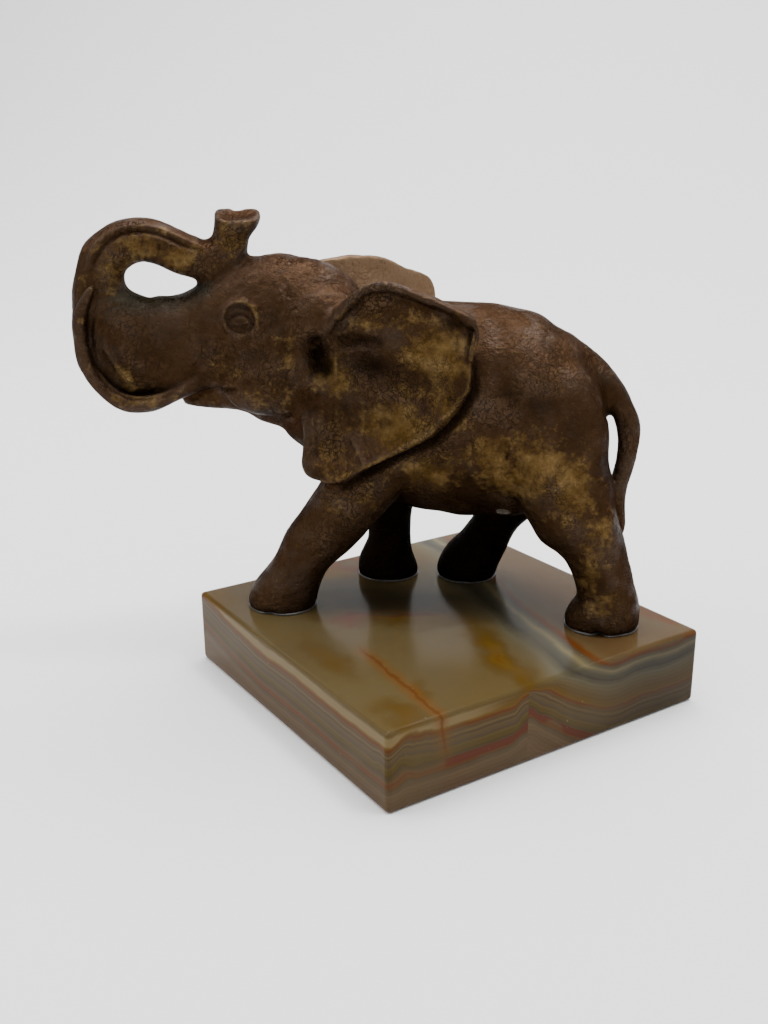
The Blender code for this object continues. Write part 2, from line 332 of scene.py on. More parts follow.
# The head: the sunken eye in its oval ring of lids, the folds of cheek and lip, the
# groove that the tusk leaves along the trunk, and small wrinkles round the mouth.
eye_h, eye_u = 27.7, 75.5
behind, over = (eye_h - skin.h) / 4.2, (skin.u - eye_u) / 4.3
far = np.hypot(behind, over)
toward = np.clip((behind + over) / (1.414 * np.maximum(far, 0.05)), 0, 1)
knots = 1 + 0.5 * np.sin(11 * np.arctan2(over, behind)) * toward
face = skin.face
move = (0.34 + 0.46 * toward * knots) * np.exp(-(((far - 0.97) / 0.17) ** 2)) * face
move -= 0.34 * np.exp(-((far / 0.8) ** 6)) * face
move -= 0.24 * np.exp(-(((far - 0.76) / 0.09) ** 2)) * face
# A painted glint: the ring is marked gold most toward its upper right, where the light falls.
eye_ring_glint = (0.08 + 0.55 * toward) * np.exp(-(((far - 1.0) / 0.2) ** 2)) * face
ball = np.hypot((skin.h - eye_h) / 2.9, (skin.u - eye_u + 0.35) / 1.9)
move += 0.52 * (1 - ease(0.45, 1.1, ball)) * face
skin.press(move)

face = skin.face
move = np.zeros(len(skin.points))
for line, width, depth in (
    (((24.9, 75.2), (26.0, 76.3), (27.8, 76.8), (29.7, 76.3), (31.0, 75.0)), 0.34, -0.26),
    (((25.2, 74.9), (26.6, 73.9), (28.4, 73.7), (30.3, 74.4)), 0.32, -0.24),
    (((25.0, 76.4), (26.2, 77.4), (27.8, 77.9), (29.8, 77.4), (31.2, 76.2)), 0.34, 0.16),
    (((24.4, 77.2), (25.8, 78.3), (28.0, 78.9), (30.4, 78.4), (32.0, 77.0)), 0.34, -0.2),
    (((31.9, 76.4), (32.3, 74.6), (31.6, 72.8), (30.2, 71.6)), 0.45, -0.3),
    (((24.6, 72.6), (26.4, 71.4), (28.4, 71.0)), 0.4, -0.22),
    (((26.0, 75.3), (27.6, 75.0), (29.4, 75.2)), 0.28, -0.14),
    (((36.0, 72.5), (36.3, 69.0), (37.2, 65.8), (39.6, 62.8), (40.9, 60.2)), 1.1, -0.5),
    (((41.5, 55.0), (38.5, 55.6), (34.9, 56.9), (31.5, 58.0), (28.5, 58.6)), 0.7, -0.8),
    (((61.4, 71.5), (60.9, 69.0), (59.0, 65.2), (56.3, 60.8), (53.6, 58.2)), 1.0, 0.7),
    (((59.6, 71.0), (58.6, 68.0), (56.6, 64.2), (54.2, 61.2), (51.6, 59.2)), 0.8, -0.35),
    (((62.0, 73.0), (60.4, 77.4), (56.5, 79.0)), 0.8, -0.3),
    (((22.5, 63.5), (26.5, 64.6), (31.0, 63.0), (34.5, 60.4)), 0.8, -0.25),
    (((20.5, 59.4), (24.0, 60.6), (28.0, 60.0)), 0.7, -0.2),
    (((15.8, 66.0), (17.6, 70.2), (17.2, 74.6)), 1.0, -0.3),
    (((15.2, 57.5), (16.8, 61.0), (17.0, 64.0)), 0.8, -0.25),
    (((18.5, 68.0), (20.4, 66.2), (20.9, 63.8)), 0.9, 0.25),
    (((12.8, 78.5), (15.2, 80.8), (16.8, 83.2)), 1.0, -0.25),
    (((20.0, 47.1), (17.6, 49.4), (15.0, 50.8)), 0.7, -0.3),
):
    move += skin.stroke("head", line, width, depth, face)
tusk_groove = (
    (40.2, 61.6), (43.4, 58.6), (47.2, 56.4), (51.7, 55.8), (55.9, 56.3), (60.1, 58.8),
    (62.7, 62.2), (63.9, 66.4), (64.2, 70.6), (63.8, 74.2), (62.6, 78.0), (61.4, 80.8),
)
move += skin.stroke("head", tusk_groove, 0.7, -0.55, face)
move += skin.wrinkles("head", 60, (15, 46), (42, 64), 65, 2.6, 0.36, -0.11, face)
move += skin.wrinkles("head", 34, (13, 62), (24, 84), 80, 2.6, 0.4, -0.1, face)
move += skin.wrinkles("head", 20, (24, 66), (34, 72), 60, 2.4, 0.4, -0.1, face)
move += skin.wrinkles("head", 26, (44, 57), (60, 66), 130, 2.6, 0.4, -0.09, face)
skin.press(move)

# The trunk: a raised ridge and a groove part the smooth outer band from the inner
# one, and the inner band has an uneven ring wrinkle every few millimetres.
trunk_line = (
    (60.6, 76.0, 8.2),
    (61.8, 83.2, 6.1),
    (59.5, 89.6, 5.7),
    (52.0, 93.3, 5.3),
    (45.5, 91.8, 5.1),
    (39.5, 89.2, 4.9),
    (34.2, 88.4, 5.1),
)
on_trunk = skin.side * ease(76, 79, skin.u) * ease(31, 33, skin.h)
trunk_groove = (
    (33.6, 90.6), (35.6, 90.9), (38.4, 91.6), (41.2, 92.8), (43.6, 94.1), (46.4, 95.2),
    (49.2, 95.8), (52.2, 95.9), (55.0, 95.4), (57.8, 94.0), (60.0, 91.8), (61.5, 89.4),
    (62.6, 86.6), (63.2, 83.4),
)
trunk_ridge = (
    (33.0, 91.8), (35.4, 92.1), (38.4, 92.8), (41.2, 94.0), (43.5, 95.3), (46.4, 96.4),
    (49.2, 97.0), (52.2, 97.1), (55.3, 96.6), (58.6, 95.1), (61.2, 92.8), (62.9, 90.0),
    (64.0, 86.8), (64.6, 83.0),
)
move = skin.stroke("head", trunk_groove, 0.65, -0.7, on_trunk)
move += skin.stroke("head", trunk_ridge, 0.6, 0.32, on_trunk)
for (h0, u0, r0), (h1, u1, r1) in zip(trunk_line, trunk_line[1:]):
    span = math.hypot(h1 - h0, u1 - u0)
    ring_h, ring_u = -(u1 - u0) / span, (h1 - h0) / span
    step = rng.uniform(0, 0.12)
    while step < 1:
        h, u = h0 + (h1 - h0) * step, u0 + (u1 - u0) * step
        reach = r0 + (r1 - r0) * step
        lean, begin = rng.uniform(-1.0, 1.0), rng.uniform(-0.35, 0.3)
        ring = (
            (h + ring_h * begin * reach, u + ring_u * begin * reach),
            (h + ring_h * 0.5 * reach + lean * 0.4, u + ring_u * 0.5 * reach),
            (h + ring_h * 0.95 * reach + lean, u + ring_u * 0.95 * reach + lean * 0.4),
        )
        move += skin.stroke("head", ring, rng.uniform(0.32, 0.5), -rng.uniform(0.04, 0.22), on_trunk)
        step += rng.uniform(0.08, 0.26)
skin.press(move)
loop_floor = ease(42, 46, skin.h) * ease(57, 53, skin.h)
loop_floor *= ease(76, 78, skin.u) * ease(84, 82, skin.u)
skin.points = skin.points + (softened(casting, 90) - skin.points) * loop_floor[:, None]
skin.put()

# The trunk's tip: its end leans to the left, is pinched in on the far side like a
# kidney, and is hollowed with a soft rim.
tip_h = 28.4
by_tip = ease(9.5, 8.0, np.hypot(skin.h - tip_h, skin.l))
near_tip = ease(90.0, 98.5, skin.u) * by_tip
lift = np.clip(0.2 * np.clip(skin.l, -5.6, 5.6) - 0.9, -3, 0) * near_tip
lift += near_tip * np.where(skin.h < tip_h, 0.19, 0.08) * np.clip(tip_h - skin.h, -6, 6)
pinch = np.exp(-(((skin.h - 27.6) / 2.0) ** 2)) * ease(0.5, 4.5, skin.l) * near_tip
splay = ease(88.5, 97.0, skin.u) * ease(100.5, 98.5, skin.u) * ease(0.5, 4.0, tip_h - skin.h) * by_tip
skin.points += share * lift[:, None] * np.array(head_up)
skin.points -= 1.3 * share * pinch[:, None] * np.array(head_right)
skin.points -= 0.6 * share * splay[:, None] * np.array(head_ahead)
skin.put()
bowl_far = np.hypot((skin.h - 27.6) / 5.0, (skin.l + 0.6) / 4.6)
bowl = np.clip(1 - bowl_far**2, 0, 1) * ease(0.35, 0.8, skin.rise) * ease(94.5, 96.5, skin.u)
skin.press(-0.8 * bowl * (skin.h < 35) * (skin.h > 20))

# The ears: the deep pit where each joins the head, the fold that runs back from it,
# the pleats of the lobe, soft waves over the flap, and the furrow inside the rim. The
# near ear lies against the shoulder, so a groove and a raised hem part it from it.


def by_near_ear():
    """1 on the skin of the near ear and of the shoulder beside it, and 0 elsewhere."""
    return ease(0.0, 0.3, skin.out) * ease(14, 10, skin.h) * (skin.l < 0)


on_ear = skin.ear
pit_field = np.maximum(on_ear, skin.side * ease(15.5, 13, skin.h))
move = skin.stroke("head", ((9.8, 69.0), (9.0, 66.5), (8.5, 63.6)), 2.3, -3.6, pit_field, False)
for line, width, depth in (
    (((5.2, 70.0), (2.7, 70.5), (-0.8, 71.2), (-3.6, 71.1), (-6.6, 70.2)), 1.2, -0.95),
    (((5.5, 68.0), (1.5, 68.3), (-2.5, 68.8), (-5.5, 68.0)), 0.9, 0.5),
    (((3.0, 66.0), (-5.0, 65.5), (-13.0, 62.5), (-20.0, 58.0)), 2.8, -0.8),
    (((2.0, 62.0), (-5.0, 60.5), (-11.0, 56.0), (-16.0, 52.0)), 2.4, 0.7),
    (((-6.0, 76.5), (-13.0, 74.0), (-18.5, 69.5), (-21.5, 64.5)), 3.0, 0.8),
    (((-2.0, 56.5), (-6.0, 51.5), (-9.0, 46.5)), 2.2, -0.6),
    (((-14.0, 57.0), (-18.0, 58.0), (-22.0, 59.5)), 1.8, -0.5),
    (((-16.0, 71.0), (-20.0, 70.0), (-24.0, 68.0)), 1.4, -0.4),
    (((-24.4, 77.4), (-25.4, 74.0), (-25.2, 70.6), (-24.0, 67.6)), 1.0, -0.9),
    (((-22.6, 76.8), (-23.6, 73.4), (-23.0, 70.4)), 0.9, 0.4),
    (((11.0, 61.0), (11.8, 52.0), (11.6, 42.0)), 0.7, -0.25),
    (((9.2, 60.0), (10.2, 51.0), (10.4, 40.0)), 0.6, -0.3),
    (((7.2, 60.4), (7.6, 51.0), (7.8, 41.0)), 0.8, -0.16),
    (((5.8, 58.6), (6.0, 50.0), (5.2, 39.6)), 0.6, -0.28),
    (((3.4, 59.0), (3.0, 50.0), (2.2, 42.5)), 0.9, -0.2),
    (((0.8, 57.0), (-0.4, 50.0), (-1.8, 43.0)), 0.7, -0.18),
    (((2.0, 47.5), (0.4, 44.4), (-1.0, 41.0)), 0.55, 0.4),
    (((9.0, 63.0), (8.4, 60.0), (8.6, 56.5)), 0.6, 0.3),
    (((5.4, 65.2), (5.0, 61.6), (5.2, 58.4)), 0.6, 0.25),
):
    move += skin.stroke("head", line, width, depth, on_ear)
inner_rim = (
    (7.0, 69.6), (5.0, 72.4), (2.9, 75.2), (0.6, 78.4), (-1.6, 80.9), (-3.6, 82.0),
    (-5.6, 82.5), (-8.0, 82.3), (-11.7, 81.3), (-15.6, 80.0), (-18.8, 78.7), (-21.2, 77.8),
    (-23.2, 76.6), (-23.9, 74.6),
)
move += skin.stroke("head", inner_rim, 1.1, -0.8, on_ear)
ear_foot = ((-27.1, 68.0), (-26.9, 61.4), (-23.6, 55.4), (-17.9, 48.6), (-5.2, 40.7), (4.5, 34.8))
ear_hem = ((-25.2, 68.0), (-25.0, 61.8), (-21.8, 57.0), (-16.2, 50.8), (-4.0, 43.0), (5.5, 37.6))
move += skin.stroke("head", ear_foot, 1.1, -1.1, by_near_ear())
move += skin.stroke("head", ear_hem, 0.75, 0.5, by_near_ear())
move += skin.wrinkles("head", 90, (-22, 40), (4, 82), 55, 2.4, 0.36, -0.09, on_ear)
move += skin.wrinkles("head", 70, (-4, 38), (13, 62), 90, 4.0, 0.4, -0.12, on_ear)
lumps = skin.side * ease(19, 15, skin.h) * ease(60, 66, skin.u) * ease(86, 82, skin.u)
move += skin.wrinkles("head", 40, (6, 62), (20, 84), 60, 1.8, 0.5, 0.34, lumps)
skin.press(move)
speck = np.hypot(skin.h - 9.6, skin.u - 68.2)
skin.press(0.9 * np.exp(-((speck / 0.8) ** 2)) * np.maximum(skin.ear, skin.side))

# The body: soft hollows behind the ribs and before the haunch, creases at elbows,
# knees and wrists, the strands of the tail's tuft, and a fine net of wrinkles.
left = ease(0.1, 0.5, -skin.normals[:, 1]) * (1 - skin.ear) * ease(-5, -8, skin.y)
right = ease(0.1, 0.5, skin.normals[:, 1]) * (1 - skin.ear) * ease(5, 8, skin.y)
flanks = np.maximum(left, 0.75 * right)
move = np.zeros(len(skin.points))
for fold, width, depth in (
    (((14.5, 66.0), (16.6, 60.0), (17.4, 53.0), (17.0, 46.0), (16.0, 38.5)), 2.0, -0.4),
    (((20.5, 64.0), (21.6, 58.0), (22.0, 51.0)), 2.2, 0.25),
    (((23.8, 57.0), (24.9, 52.5), (25.3, 47.5), (26.4, 41.5)), 1.4, -0.35),
    (((33.5, 52.0), (34.6, 45.5), (34.2, 38.5), (32.4, 32.5)), 1.6, -0.3),
    (((12.0, 34.5), (16.5, 32.6), (20.5, 28.5)), 1.4, -0.4),
    (((-8.5, 36.5), (-12.0, 33.0), (-15.5, 31.0)), 1.4, -0.4),
    (((-22.0, 33.5), (-26.0, 31.0), (-29.5, 29.4)), 1.0, -0.2),
    (((-26.5, 18.0), (-30.0, 16.4), (-34.0, 16.0)), 0.9, -0.15),
    (((34.0, 14.5), (38.0, 12.8), (42.5, 13.2)), 0.9, -0.15),
    (((33.0, 24.5), (36.5, 22.4), (40.5, 22.6)), 1.0, -0.2),
    (((5.5, 58.0), (8.0, 51.0), (8.4, 44.0)), 2.4, -0.3),
    (((10.6, 60.0), (12.2, 53.0), (12.2, 45.0)), 1.8, 0.2),
    (((0.5, 50.0), (2.0, 43.0), (1.0, 36.5)), 1.6, -0.25),
    (((28.6, 60.0), (30.8, 54.0), (31.4, 47.5)), 1.6, 0.2),
):
    move += skin.stroke("body", fold, width, depth, flanks)
move += skin.wrinkles("body", 110, (-6, 30), (34, 62), 85, 2.8, 0.38, -0.09, flanks)
move += skin.wrinkles("body", 40, (26, 14), (44, 46), 80, 2.8, 0.4, -0.08, flanks)
move += skin.wrinkles("body", 40, (-38, 8), (-8, 40), 65, 2.8, 0.4, -0.08, flanks)
move += skin.wrinkles("body", 16, (14, 40), (20, 60), 88, 4.0, 0.45, -0.16, flanks)
tail = ease(39.5, 41.0, skin.x) * ease(32, 28, skin.z) * ease(19.5, 21.5, skin.z)
tail *= ease(-0.9, -3.0, skin.y) * ease(-10.5, -8.5, skin.y)
strand = np.arctan2(skin.y + 5.9, skin.x - 43.5) * 7 + skin.z * 0.25
skin.press(move + 0.2 * np.sin(strand) * tail)

# The cast surface is never quite even: low swells, pocks and stray scratches in
# the wax came out in the metal, most of all round the neck and the ears' roots. The
# chip under the belly bares the pale metal.


def ripple(count, slow, fast):
    """An uneven swell over the skin, about 1 high, from waves that run every way."""
    total = np.zeros(len(skin.points))
    for _ in range(count):
        way = rng.normal(size=3)
        way *= rng.uniform(slow, fast) / np.linalg.norm(way)
        phase = rng.uniform(0, 2 * math.pi)
        total += np.sin(skin.x * way[0] + skin.y * way[1] + skin.z * way[2] + phase)
    return total / math.sqrt(count / 2)


off_sole = ease(0.0, 3.0, skin.z)
rough = 0.4 + 0.6 * ease(30, 10, np.abs(skin.h - 12)) * ease(40, 60, skin.u)
skin.press(off_sole * (0.13 * ripple(24, 0.3, 0.8) + 0.035 * rough * ripple(40, 1.6, 4.0)))
chip = ((skin.x - 15.9) / 1.7) ** 2 + ((skin.y + 9.8) / 3.0) ** 2 + ((skin.z - 26.6) / 1.3) ** 2
chipped = ease(1.15, 0.85, np.sqrt(chip))
skin.press(-0.35 * chipped)

# The feet are plain and round, and stand flat, so each is drawn to a plain oval and
# rubbed smooth, and the soles go back to the level they were cut at.


def four_feet(low):
    """The numbered points of each foot: left fore, left hind, right fore, right hind."""
    feet = []
    for side in (-1, 1):
        row = low[skin.y[low] * side > 0]
        row = row[np.argsort(skin.x[row])]
        gap = int(np.argmax(np.diff(skin.x[row]))) + 1
        feet += [row[:gap], row[gap:]]
    return feet


def sole_edge(sole, steps):
    """A sole's middle, and how far its edge is from it in each direction."""
    middle = skin.points[sole, :2].mean(axis=0)
    way = skin.points[sole, :2] - middle
    turns, reach = np.arctan2(way[:, 1], way[:, 0]), np.hypot(way[:, 0], way[:, 1])
    apart = [np.abs((turns - step + np.pi) % (2 * np.pi) - np.pi) for step in steps]
    return middle, np.array([reach[close < 0.12].max() for close in apart])


steps = np.radians(np.arange(0, 360, 10))
for foot in four_feet(np.flatnonzero(skin.z < 8.0)):
    middle, edge = sole_edge(foot[skin.z[foot] < 0.6], steps)
    terms = (np.ones(36), np.cos(steps), np.sin(steps), np.cos(2 * steps), np.sin(2 * steps))
    terms = np.column_stack(terms)
    oval = terms @ np.linalg.lstsq(terms, edge, rcond=None)[0]
    way = skin.points[foot, :2] - middle
    turn = np.arctan2(way[:, 1], way[:, 0]) % (2 * np.pi)
    stretch = np.interp(turn, np.append(steps, 2 * np.pi), np.append(oval / edge, oval[0] / edge[0]))
    fade = ease(7.0, 2.5, skin.z[foot])
    skin.points[foot, :2] = middle + way * (1 + (stretch - 1) * fade)[:, None]
skin.put()
rounded = softened(casting, 60)
low_foot = ease(6.0, 2.5, skin.z)[:, None]
skin.points[:, :2] += (rounded[:, :2] - skin.points[:, :2]) * low_foot
skin.points[:, 2] = np.maximum(skin.points[:, 2], cast_low.z)
on_ground = skin.points[:, 2] < cast_low.z + 0.0002
skin.points[on_ground, 2] = cast_low.z
skin.put()
soles = four_feet(np.flatnonzero(on_ground))

# Where hands have rubbed the patina golden, with painted glints on the eye's ring and a
# painted highlight along the near ear's hem; where painted shade darkens the hollows, the
# underside, the far legs and the ears' pits and folds, among darker patches; a painted
# grey highlight on the floor of the trunk's loop; painted light on the backs of the ears;
# and reddish above, partly the back's patina and partly painted light.
fine = ((skin.points - softened(casting, 14)) * skin.normals).sum(axis=1) / share
broad = ((skin.points - softened(casting, 160)) * skin.normals).sum(axis=1) / share
# hollow darkens creases and hollows: partly the patina kept dark there, partly painted shade. proud finds
# the ridges.
hollow = np.clip(-fine * 3.2, 0, 1) * 0.5 + np.clip(-broad * 0.6, 0, 1) * 0.6
proud = np.clip(fine * 6.0, 0, 1) * 0.5 + np.clip(broad * 0.8, 0, 1) * 0.4


def mark(name, values):
    """Keeps one value for each point of the skin under a name that a finish reads."""
    layer = casting.data.attributes.new(name, "FLOAT", "POINT")
    layer.data.foreach_set("value", np.clip(values, 0, 1).astype(np.float32))


def patch(plane, places):
    """Soft oval patches, each by its middle, its two half lengths and its strength."""
    across, along = (skin.h, skin.u) if plane == "head" else (skin.x, skin.z)
    total = np.zeros(len(skin.points))
    for a, b, wide, tall, strength in places:
        away = ((across - a) / wide) ** 2 + ((along - b) / tall) ** 2
        total = np.maximum(total, strength * np.exp(-away))
    return total


left_body = ease(0.0, 0.5, -skin.normals[:, 1]) * (1 - skin.ear) * ease(-4, -8, skin.y)
head_gold = (
    (55.0, 87.0, 9.0, 6.0, 0.6), (49.5, 92.0, 8.0, 4.0, 0.72), (41.5, 89.0, 6.0, 5.0, 0.72),
    (29.0, 93.0, 5.0, 5.0, 0.65), (22.0, 56.0, 10.0, 6.0, 0.35), (32.0, 62.0, 6.0, 5.0, 0.3),
    (16.0, 66.0, 4.0, 7.0, 0.5), (54.0, 56.5, 10.0, 3.0, 0.45), (56.5, 61.0, 3.0, 4.0, 0.7),
)
ear_gold = (
    (-18.1, 69.2, 7.5, 7.5, 1.0), (-10.0, 50.5, 9.0, 6.0, 1.2), (6.0, 61.0, 6.0, 5.0, 0.8),
    (-12.4, 60.4, 6.0, 4.0, 0.5), (-20.0, 57.0, 6.0, 6.0, 0.75), (7.0, 45.0, 6.0, 9.0, 0.5),
    (-2.0, 75.5, 6.0, 3.0, 0.55), (-14.0, 76.0, 7.0, 3.5, 0.4),
)
body_gold = (
    (4.4, 47.0, 8.0, 8.0, 0.7), (14.5, 44.0, 6.0, 8.0, 0.8), (24.0, 42.0, 8.5, 8.5, 0.7),
    (19.6, 37.0, 9.0, 6.0, 0.8), (-1.6, 38.0, 9.0, 5.0, 0.75), (33.0, 36.0, 6.0, 9.0, 0.75),
    (40.0, 24.0, 3.5, 8.0, 0.6), (38.4, 14.0, 3.6, 6.0, 0.55), (41.0, 7.3, 4.5, 3.5, 0.6),
    (-22.0, 32.0, 10.0, 6.0, 0.5), (8.0, 56.0, 5.0, 6.0, 0.4),
)
rubbed_and_glint = np.maximum(patch("head", head_gold) * skin.face, patch("head", ear_gold) * skin.ear)
rubbed_and_glint = np.maximum(rubbed_and_glint, patch("body", body_gold) * left_body)
rubbed_and_glint = np.maximum(rubbed_and_glint, 0.55 * patch("body", body_gold) * ease(4, 8, skin.y) * (1 - skin.ear))
# A painted highlight: a thin gold line along the near ear's hem, where its edge catches the light.
rubbed_and_glint = np.maximum(rubbed_and_glint, skin.stroke("head", ear_hem, 0.6, 0.7, by_near_ear(), False))
# The eye ring's painted glint joins the rubbed gold.
rubbed_and_glint = np.maximum(rubbed_and_glint, eye_ring_glint)
mark("rubbed_and_glint", rubbed_and_glint * (1 - np.clip(1.2 * hollow, 0, 1)))
mark("hollow", hollow)
mark("proud", proud)
# Painted shade: under and inner darken the faces turned down and the far legs, where the light does not
# reach.
under = ease(0.1, -0.6, skin.normals[:, 2]) * ease(60, 46, skin.z) * ease(-11, -6, skin.y)
inner = ease(-4, 3, skin.y) * ease(46, 37, skin.z) * ease(0.55, 0.1, skin.normals[:, 1])
dark_back = (
    (16.0, 57.5, 8.0, 5.0, 0.75), (24.0, 56.0, 8.0, 4.0, 0.7), (32.5, 51.0, 4.0, 7.0, 0.6),
    (4.0, 60.0, 5.0, 5.0, 0.7), (9.0, 66.0, 3.0, 4.0, 0.6),
)
dark_head = (
    (50.0, 68.0, 8.0, 8.0, 0.6), (28.0, 75.0, 4.0, 3.6, 0.45), (20.0, 76.0, 4.0, 5.0, 0.6),
    (17.0, 69.0, 3.0, 3.0, 0.5), (38.0, 72.0, 4.0, 6.0, 0.35), (25.0, 66.5, 7.0, 4.0, 0.55),
    (31.0, 63.5, 9.0, 6.0, 0.45),
)
# dark_ear is painted shade in the ear's pit, the fold behind it, under its rolled rim and in its rear
# corner, with darker patches on the flap. dark_back and dark_head are darker patches.
dark_ear = (
    (-0.5, 71.0, 6.5, 1.9, 0.75), (-4.0, 65.0, 8.5, 4.5, 0.95), (2.0, 53.0, 7.0, 5.5, 0.6),
    (-21.5, 77.0, 4.0, 2.4, 0.9), (-23.5, 63.0, 3.0, 6.0, 0.6), (9.0, 66.4, 2.5, 3.7, 1.0),
    (-8.0, 77.0, 8.0, 2.0, 0.4), (-17.0, 62.5, 5.0, 3.0, 0.5),
)
shade_and_dark_patches = np.maximum(np.maximum(under, inner), patch("body", dark_back) * left_body)
shade_and_dark_patches = np.maximum(shade_and_dark_patches, patch("head", dark_head) * skin.face)
shade_and_dark_patches = np.maximum(shade_and_dark_patches, patch("head", dark_ear) * ease(-0.2, 0.2, skin.out))
ear_shadow = skin.stroke("head", ear_foot, 1.4, 0.95, by_near_ear(), False)
mark("shade_and_dark_patches", np.maximum(shade_and_dark_patches, ear_shadow))
# A painted grey highlight on the upward faces of the floor inside the trunk's loop.
loop = patch("head", ((50.0, 80.2, 12.0, 3.2, 1.0), (38.0, 82.5, 7.0, 3.0, 0.9)))
mark("loop_floor_highlight", loop * ease(-0.1, 0.5, skin.rise) * ease(9, 6, np.abs(skin.l)) * ease(33, 36, skin.h))
# Reddish on upward faces: partly the back's reddish patina, partly painted light falling from above.
top_patina_and_light = ease(0.15, 0.75, skin.normals[:, 2]) * ease(30, 45, skin.z)
# Painted light: the backs of the ears, most of all the far one, are lightened where the lamps leave them
# dark.
behind_ear = ease(9.5, 11.5, np.abs(skin.l)) * ease(16, 12, skin.h) * ease(0.1, -0.3, skin.out)
mark("above", top_patina_and_light * (1 - 0.4 * ease(0, 12, skin.x)))
mark("painted_light_ear_backs", behind_ear * ease(66, 74, skin.u) * np.where(skin.l > 0, 1.0, 0.4))
mark("chipped", chipped)

finish_with(casting, "TRIANGULATE")
most_triangles = 195000
dense = len(casting.data.polygons)
if dense > most_triangles:
    finish_with(casting, "DECIMATE", ratio=most_triangles / dense)
casting.data.shade_smooth()

# The patina is a dark brown chemical skin over yellow metal. It is reddish and
# thin on the back, with painted light on upward faces, rubbed golden where hands
# go, and nearly black in the hollows, partly as painted shade. Painted shade also
# darkens the underside, the far legs and the ears' pits, and painted glints and
# highlights lighten the eye's ring and the near ear's hem.


def math_node(tree, operation, first, second=None, third=None, clamp=False):
    """One sum on sockets or plain values."""
    made = tree.nodes.new("ShaderNodeMath")
    made.operation = operation
    made.use_clamp = clamp
    for socket, value in zip(made.inputs, (first, second, third)):
        if isinstance(value, (int, float)):
            socket.default_value = value
        elif value is not None:
            tree.links.new(value, socket)
    return made.outputs[0]


def ramp(tree, value, stops, mode="LINEAR"):
    """A colour ramp by its stops, read at a value."""
    made = tree.nodes.new("ShaderNodeValToRGB")
    made.color_ramp.interpolation = mode
    elements = made.color_ramp.elements
    elements.remove(elements[-1])
    for place, (position, colour) in enumerate(stops):
        stop = elements[0] if place == 0 else elements.new(position)
        stop.position = position
        stop.color = (*colour, 1)
    tree.links.new(value, made.inputs[0])
    return made.outputs[0]


def mix_colour(tree, factor, first, second, blend="MIX"):
    """One colour laid over another."""
    made = tree.nodes.new("ShaderNodeMix")
    made.data_type = "RGBA"
    made.blend_type = blend
    for index, value in ((0, factor), (6, first), (7, second)):
        if isinstance(value, (int, float)):
            made.inputs[index].default_value = value
        elif isinstance(value, tuple):
            made.inputs[index].default_value = (*value, 1)
        else:
            tree.links.new(value, made.inputs[index])
    return made.outputs[2]


def noise(tree, where, scale, detail=4.0, roughness=0.55):
    """A noise on the piece's own coordinates."""
    made = tree.nodes.new("ShaderNodeTexNoise")
    made.inputs["Scale"].default_value = scale
    made.inputs["Detail"].default_value = detail
    made.inputs["Roughness"].default_value = roughness
    tree.links.new(where, made.inputs["Vector"])
    return made.outputs["Fac"]


def kept(tree, name):
    """A value kept on the skin."""
    made = tree.nodes.new("ShaderNodeAttribute")
    made.attribute_name = name
    return made.outputs["Fac"]


bronze = bpy.data.materials.new("Patinated bronze")
bronze.use_nodes = True
tree = bronze.node_tree
link = tree.links.new
shader = tree.nodes["Principled BSDF"]
where = tree.nodes.new("ShaderNodeTexCoord").outputs["Object"]
mottle = noise(tree, where, 70, 5, 0.6)
clouds = noise(tree, where, 210, 7, 0.7)
speck = noise(tree, where, 640, 4, 0.6)
grain = noise(tree, where, 1700, 3, 0.6)
wobble = tree.nodes.new("ShaderNodeTexNoise")
wobble.inputs["Scale"].default_value = 300
wobble.inputs["Detail"].default_value = 4
warp = tree.nodes.new("ShaderNodeVectorMath")
warp.operation = "MULTIPLY_ADD"
link(where, wobble.inputs["Vector"])
link(wobble.outputs["Color"], warp.inputs[0])
warp.inputs[1].default_value = (0.007, 0.007, 0.007)
link(where, warp.inputs[2])
crackle = tree.nodes.new("ShaderNodeTexVoronoi")
crackle.feature = "DISTANCE_TO_EDGE"
crackle.inputs["Scale"].default_value = 620
link(warp.outputs[0], crackle.inputs["Vector"])
cracks = math_node(tree, "MULTIPLY_ADD", crackle.outputs["Distance"], -8.0, 1.0, clamp=True)
some = math_node(tree, "MULTIPLY_ADD", mottle, 6.0, -2.7, clamp=True)
cracks = math_node(tree, "MULTIPLY", cracks, some)
# Less crackle where light is painted on the backs of the ears.
crackle_off_ear_backs = math_node(tree, "MULTIPLY_ADD", kept(tree, "painted_light_ear_backs"), -0.7, 1.0, clamp=True)
cracks = math_node(tree, "MULTIPLY", cracks, crackle_off_ear_backs)

brown = ramp(tree, mottle, (
    (0.32, (0.024, 0.0115, 0.0045)),
    (0.50, (0.040, 0.0205, 0.009)),
    (0.66, (0.062, 0.035, 0.018)),
))
reddish = ramp(tree, clouds, (
    (0.30, (0.044, 0.024, 0.013)),
    (0.50, (0.060, 0.034, 0.020)),
    (0.70, (0.080, 0.047, 0.029)),
))
gold = ramp(tree, clouds, (
    (0.30, (0.050, 0.026, 0.005)),
    (0.45, (0.086, 0.048, 0.013)),
    (0.58, (0.128, 0.077, 0.026)),
    (0.72, (0.190, 0.120, 0.046)),
))
# Reddish on upward faces: partly the back's patina, partly painted light from above.
base = mix_colour(tree, kept(tree, "above"), brown, reddish)
# Painted light: a lighter brown on the backs of the ears.
base = mix_colour(tree, kept(tree, "painted_light_ear_backs"), base, (0.19, 0.118, 0.068))
